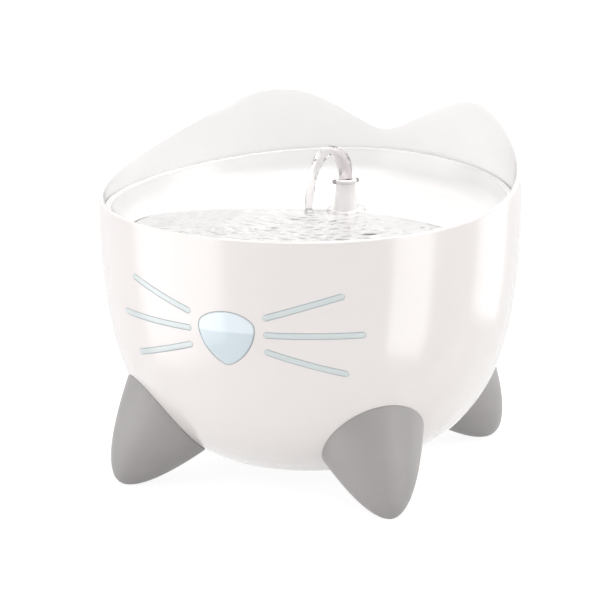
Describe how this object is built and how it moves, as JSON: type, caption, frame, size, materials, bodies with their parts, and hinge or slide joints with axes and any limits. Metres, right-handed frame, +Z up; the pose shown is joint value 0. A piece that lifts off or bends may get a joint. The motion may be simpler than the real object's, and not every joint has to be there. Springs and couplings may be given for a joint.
{
  "type": "pet water fountain",
  "caption": "Round white pet drinking fountain on soft cone feet, with an eared rim, a face with lit nose and whiskers, a drop-in tray, spout, filter and pump.",
  "frame": {"origin": "on the ground, under the middle of the bowl's bounding box", "axes": "+Z up, -Y towards the nose (the front), +X to the right as seen from the front"},
  "size_m": [0.23, 0.23, 0.1935],
  "materials": {
    "shell_white": "glossy",
    "tray_white": "glossy",
    "lens_ice": "glossy, translucent",
    "foot_grey": "satin, soft touch",
    "seal_grey": "matte",
    "grommet_grey": "matte",
    "spout_white": "satin",
    "filter_clear": "glossy, translucent",
    "fleece_white": "felted",
    "carbon_black": "granular",
    "foam_blue": "open cell foam",
    "pump_dark": "matte",
    "core_steel": "laminated",
    "coil_copper": "enamelled wire",
    "board_green": "satin",
    "lamp_warm": "glossy",
    "ceramic_white": "ground ceramic",
    "cup_grey": "satin",
    "ferrite_grey": "satin",
    "blade_white": "satin",
    "slider_blue": "satin"
  },
  "bodies": {
    "base": {"reservoir_bowl": "shell_white", "nose_lens": "lens_ice", "nose_gasket": "seal_grey", "whisker_lens_left": "lens_ice", "whisker_lens_right": "lens_ice", "foot_front_left": "foot_grey", "foot_front_right": "foot_grey", "foot_rear_left": "foot_grey", "foot_rear_right": "foot_grey", "cable_grommet": "grommet_grey"},
    "tray": {"drinking_tray": "tray_white"},
    "spout": {"spout_stem": "spout_white", "spout_seal": "seal_grey"},
    "nozzle": {"spout_nozzle": "spout_white"},
    "filter": {"filter_basket": "filter_clear", "filter_lid": "filter_clear", "filter_fleece": "fleece_white", "filter_carbon": "carbon_black", "filter_foam": "foam_blue"},
    "pump": {"pump_housing": "pump_dark", "pump_end_cap": "pump_dark", "pump_gasket": "seal_grey", "stator_core": "core_steel", "stator_coil": "coil_copper", "driver_board": "board_green", "night_lamp": "lamp_warm", "lamp_lens": "lens_ice", "rotor_shaft": "ceramic_white", "rear_bush": "seal_grey", "cable_gland": "seal_grey", "suction_cups": "cup_grey", "riser_tube": "filter_clear"},
    "rotor": {"rotor_magnet": "ferrite_grey", "impeller": "blade_white"},
    "intake": {"intake_cover": "pump_dark", "front_bush": "seal_grey"},
    "slider": {"flow_slider": "slider_blue"}
  },
  "joints": [
    {"name": "tray_lift", "type": "slide", "parent": "base", "child": "tray", "axis": [0, 0, 1], "range_m": [0, 0.08]},
    {"name": "spout_lift", "type": "slide", "parent": "tray", "child": "spout", "axis": [0, 0, 1], "range_m": [0, 0.025]},
    {"name": "nozzle_turn", "type": "hinge", "parent": "spout", "child": "nozzle", "pos_m": [0, 0.052, 0.15], "axis": [0, 0, 1], "continuous": true},
    {"name": "filter_release", "type": "slide", "parent": "tray", "child": "filter", "axis": [0, 0, 1], "range_m": [-0.03, 0]},
    {"name": "pump_lift", "type": "slide", "parent": "base", "child": "pump", "axis": [0, 0, 1], "range_m": [0, 0.04]},
    {"name": "impeller_spin", "type": "hinge", "parent": "pump", "child": "rotor", "pos_m": [0, 0.0505, 0.0392], "axis": [0, 1, 0], "continuous": true},
    {"name": "cover_release", "type": "slide", "parent": "pump", "child": "intake", "axis": [0, 1, 0], "range_m": [0, 0.006]},
    {"name": "flow_adjust", "type": "slide", "parent": "intake", "child": "slider", "axis": [1, 0, 0], "range_m": [0, 0.003]}
  ],
  "couplings": [
    {"joint": "pump_lift", "follows": "tray_lift", "ratio": 0.5}
  ]
}
